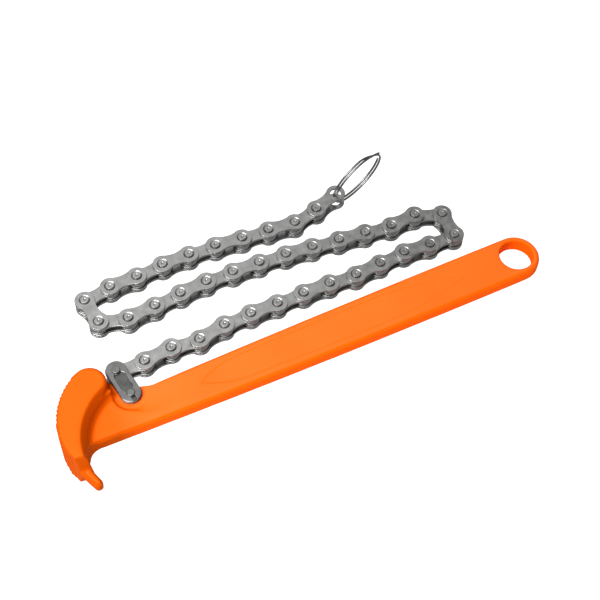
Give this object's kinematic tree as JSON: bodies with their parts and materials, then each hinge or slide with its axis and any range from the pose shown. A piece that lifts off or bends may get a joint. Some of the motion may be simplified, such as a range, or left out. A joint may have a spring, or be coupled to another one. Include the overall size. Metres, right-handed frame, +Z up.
{
  "type": "chain pipe wrench",
  "caption": "Forged wrench handle with a toothed crescent jaw and a hook, and a roller chain pinned to it by a clipped connecting link, with a split ring on its free end.",
  "frame": {"origin": "centre of the hang hole, on the middle plane of the handle", "axes": "+X along the shaft away from the jaw, +Y to the side the chain is pinned on, +Z up out of the face with the spring clip"},
  "size_m": [0.2275, 0.1011, 0.0298],
  "materials": {
    "orange_coat": "satin orange powder coat",
    "clip_steel": "satin bare steel",
    "chain_steel": "oiled grey steel",
    "ring_steel": "bright plated wire"
  },
  "bodies": {
    "handle": {"handle": "orange_coat"},
    "connecting_link": {"connecting_rear_plate": "clip_steel", "connecting_pins": "clip_steel", "connecting_cover_plate": "clip_steel", "spring_clip": "clip_steel"},
    "link_02": {"inner_link_02": "chain_steel"},
    "link_03": {"outer_link_03": "chain_steel"},
    "link_04": {"inner_link_04": "chain_steel"},
    "link_05": {"outer_link_05": "chain_steel"},
    "link_06": {"inner_link_06": "chain_steel"},
    "link_07": {"outer_link_07": "chain_steel"},
    "link_08": {"inner_link_08": "chain_steel"},
    "link_09": {"outer_link_09": "chain_steel"},
    "link_10": {"inner_link_10": "chain_steel"},
    "link_11": {"outer_link_11": "chain_steel"},
    "link_12": {"inner_link_12": "chain_steel"},
    "link_13": {"outer_link_13": "chain_steel"},
    "link_14": {"inner_link_14": "chain_steel"},
    "link_15": {"outer_link_15": "chain_steel"},
    "link_16": {"inner_link_16": "chain_steel"},
    "link_17": {"outer_link_17": "chain_steel"},
    "link_18": {"inner_link_18": "chain_steel"},
    "link_19": {"outer_link_19": "chain_steel"},
    "link_20": {"inner_link_20": "chain_steel"},
    "link_21": {"outer_link_21": "chain_steel"},
    "link_22": {"inner_link_22": "chain_steel"},
    "link_23": {"outer_link_23": "chain_steel"},
    "link_24": {"inner_link_24": "chain_steel"},
    "link_25": {"outer_link_25": "chain_steel"},
    "link_26": {"inner_link_26": "chain_steel"},
    "link_27": {"outer_link_27": "chain_steel"},
    "link_28": {"inner_link_28": "chain_steel"},
    "link_29": {"outer_link_29": "chain_steel"},
    "link_30": {"inner_link_30": "chain_steel"},
    "link_31": {"outer_link_31": "chain_steel"},
    "link_32": {"inner_link_32": "chain_steel"},
    "link_33": {"outer_link_33": "chain_steel"},
    "link_34": {"inner_link_34": "chain_steel"},
    "link_35": {"outer_link_35": "chain_steel"},
    "link_36": {"inner_link_36": "chain_steel"},
    "link_37": {"outer_link_37": "chain_steel"},
    "link_38": {"inner_link_38": "chain_steel"},
    "link_39": {"end_link_39": "chain_steel"},
    "ring": {"split_ring": "ring_steel"}
  },
  "joints": [
    {"name": "anchor_pivot", "type": "hinge", "parent": "handle", "child": "connecting_link", "pos_m": [-0.18251, 0.00765, 0], "axis": [0, 0, 1], "range_deg": [-1, 5]},
    {"name": "pivot_02", "type": "hinge", "parent": "connecting_link", "child": "link_02", "pos_m": [-0.18406, 0.02026, 0], "axis": [0, 0, -1], "range_deg": [-70, 1]},
    {"name": "pivot_03", "type": "hinge", "parent": "link_02", "child": "link_03", "pos_m": [-0.17136, 0.02003, 0], "axis": [0, 0, 1], "range_deg": [-1, 40]},
    {"name": "pivot_04", "type": "hinge", "parent": "link_03", "child": "link_04", "pos_m": [-0.15873, 0.02136, 0], "axis": [0, 0, -1], "range_deg": [-28, 1]},
    {"name": "pivot_05", "type": "hinge", "parent": "link_04", "child": "link_05", "pos_m": [-0.1461, 0.02003, 0], "axis": [0, 0, 1], "range_deg": [-2, 20]},
    {"name": "pivot_06", "type": "hinge", "parent": "link_05", "child": "link_06", "pos_m": [-0.13359, 0.02224, 0], "axis": [0, 0, -1], "range_deg": [-15, 2]},
    {"name": "pivot_07", "type": "hinge", "parent": "link_06", "child": "link_07", "pos_m": [-0.1209, 0.02268, 0], "axis": [0, 0, 1], "range_deg": [-2, 12]},
    {"name": "pivot_08", "type": "hinge", "parent": "link_07", "child": "link_08", "pos_m": [-0.1082, 0.02246, 0], "axis": [0, 0, -1], "range_deg": [-10, 3]},
    {"name": "pivot_09", "type": "hinge", "parent": "link_08", "child": "link_09", "pos_m": [-0.0955, 0.02246, 0], "axis": [0, 0, 1], "range_deg": [-4, 8]},
    {"name": "pivot_10", "type": "hinge", "parent": "link_09", "child": "link_10", "pos_m": [-0.0828, 0.02224, 0], "axis": [0, 0, -1], "range_deg": [-7, 5]},
    {"name": "pivot_11", "type": "hinge", "parent": "link_10", "child": "link_11", "pos_m": [-0.07013, 0.02135, 0], "axis": [0, 0, 1], "range_deg": [-6, 6]},
    {"name": "pivot_12", "type": "hinge", "parent": "link_11", "child": "link_12", "pos_m": [-0.05746, 0.02224, 0], "axis": [0, 0, -1], "range_deg": [-5, 8]},
    {"name": "pivot_13", "type": "hinge", "parent": "link_12", "child": "link_13", "pos_m": [-0.0448, 0.02312, 0], "axis": [0, 0, 1], "range_deg": [-13, 5]},
    {"name": "pivot_14", "type": "hinge", "parent": "link_13", "child": "link_14", "pos_m": [-0.03214, 0.02202, 0], "axis": [0, 0, -1], "range_deg": [-4, 27]},
    {"name": "pivot_15", "type": "hinge", "parent": "link_14", "child": "link_15", "pos_m": [-0.01944, 0.02202, 0], "axis": [0, 0, 1], "range_deg": [-90, 4]},
    {"name": "pivot_16", "type": "hinge", "parent": "link_15", "child": "link_16", "pos_m": [-0.01856, 0.03469, 0], "axis": [0, 0, -1], "range_deg": [-4, 75]},
    {"name": "pivot_17", "type": "hinge", "parent": "link_16", "child": "link_17", "pos_m": [-0.03033, 0.03944, 0], "axis": [0, 0, 1], "range_deg": [-40, 4]},
    {"name": "pivot_18", "type": "hinge", "parent": "link_17", "child": "link_18", "pos_m": [-0.043, 0.03856, 0], "axis": [0, 0, -1], "range_deg": [-5, 60]},
    {"name": "pivot_19", "type": "hinge", "parent": "link_18", "child": "link_19", "pos_m": [-0.05561, 0.04011, 0], "axis": [0, 0, 1], "range_deg": [-45, 5]},
    {"name": "pivot_20", "type": "hinge", "parent": "link_19", "child": "link_20", "pos_m": [-0.06821, 0.04165, 0], "axis": [0, 0, -1], "range_deg": [-6, 32]},
    {"name": "pivot_21", "type": "hinge", "parent": "link_20", "child": "link_21", "pos_m": [-0.08082, 0.0432, 0], "axis": [0, 0, 1], "range_deg": [-24, 7]},
    {"name": "pivot_22", "type": "hinge", "parent": "link_21", "child": "link_22", "pos_m": [-0.09345, 0.04453, 0], "axis": [0, 0, -1], "range_deg": [-8, 16]},
    {"name": "pivot_23", "type": "hinge", "parent": "link_22", "child": "link_23", "pos_m": [-0.10612, 0.04542, 0], "axis": [0, 0, 1], "range_deg": [-11, 10]},
    {"name": "pivot_24", "type": "hinge", "parent": "link_23", "child": "link_24", "pos_m": [-0.11881, 0.04586, 0], "axis": [0, 0, -1], "range_deg": [-12, 7]},
    {"name": "pivot_25", "type": "hinge", "parent": "link_24", "child": "link_25", "pos_m": [-0.13151, 0.04608, 0], "axis": [0, 0, 1], "range_deg": [-5, 15]},
    {"name": "pivot_26", "type": "hinge", "parent": "link_25", "child": "link_26", "pos_m": [-0.14418, 0.04519, 0], "axis": [0, 0, -1], "range_deg": [-20, 4]},
    {"name": "pivot_27", "type": "hinge", "parent": "link_26", "child": "link_27", "pos_m": [-0.15681, 0.04387, 0], "axis": [0, 0, 1], "range_deg": [-3, 32]},
    {"name": "pivot_28", "type": "hinge", "parent": "link_27", "child": "link_28", "pos_m": [-0.16948, 0.04298, 0], "axis": [0, 0, -1], "range_deg": [-30, 3]},
    {"name": "pivot_29", "type": "hinge", "parent": "link_28", "child": "link_29", "pos_m": [-0.18168, 0.04648, 0], "axis": [0, 0, 1], "range_deg": [-2, 70]},
    {"name": "pivot_30", "type": "hinge", "parent": "link_29", "child": "link_30", "pos_m": [-0.18323, 0.05909, 0], "axis": [0, 0, -1], "range_deg": [-90, 2]},
    {"name": "pivot_31", "type": "hinge", "parent": "link_30", "child": "link_31", "pos_m": [-0.17073, 0.06129, 0], "axis": [0, 0, 1], "range_deg": [-2, 45]},
    {"name": "pivot_32", "type": "hinge", "parent": "link_31", "child": "link_32", "pos_m": [-0.15803, 0.06151, 0], "axis": [0, 0, -1], "range_deg": [-45, 3]},
    {"name": "pivot_33", "type": "hinge", "parent": "link_32", "child": "link_33", "pos_m": [-0.14538, 0.06262, 0], "axis": [0, 0, 1], "range_deg": [-4, 45]},
    {"name": "pivot_34", "type": "hinge", "parent": "link_33", "child": "link_34", "pos_m": [-0.13268, 0.06262, 0], "axis": [0, 0, -1], "range_deg": [-45, 5]},
    {"name": "pivot_35", "type": "hinge", "parent": "link_34", "child": "link_35", "pos_m": [-0.11998, 0.06218, 0], "axis": [0, 0, 1], "range_deg": [-7, 45]},
    {"name": "pivot_36", "type": "hinge", "parent": "link_35", "child": "link_36", "pos_m": [-0.10735, 0.06085, 0], "axis": [0, 0, -1], "range_deg": [-45, 10]},
    {"name": "pivot_37", "type": "hinge", "parent": "link_36", "child": "link_37", "pos_m": [-0.09468, 0.05996, 0], "axis": [0, 0, 1], "range_deg": [-20, 45]},
    {"name": "pivot_38", "type": "hinge", "parent": "link_37", "child": "link_38", "pos_m": [-0.08205, 0.05864, 0], "axis": [0, 0, -1], "range_deg": [-45, 28]},
    {"name": "pivot_39", "type": "hinge", "parent": "link_38", "child": "link_39", "pos_m": [-0.06968, 0.06149, 0], "axis": [0, 0, 1], "range_deg": [-36, 45]},
    {"name": "ring_swing", "type": "hinge", "parent": "link_39", "child": "ring", "pos_m": [-0.05767, 0.06563, 0], "axis": [0, 0, -1], "range_deg": [-90, 60]}
  ]
}
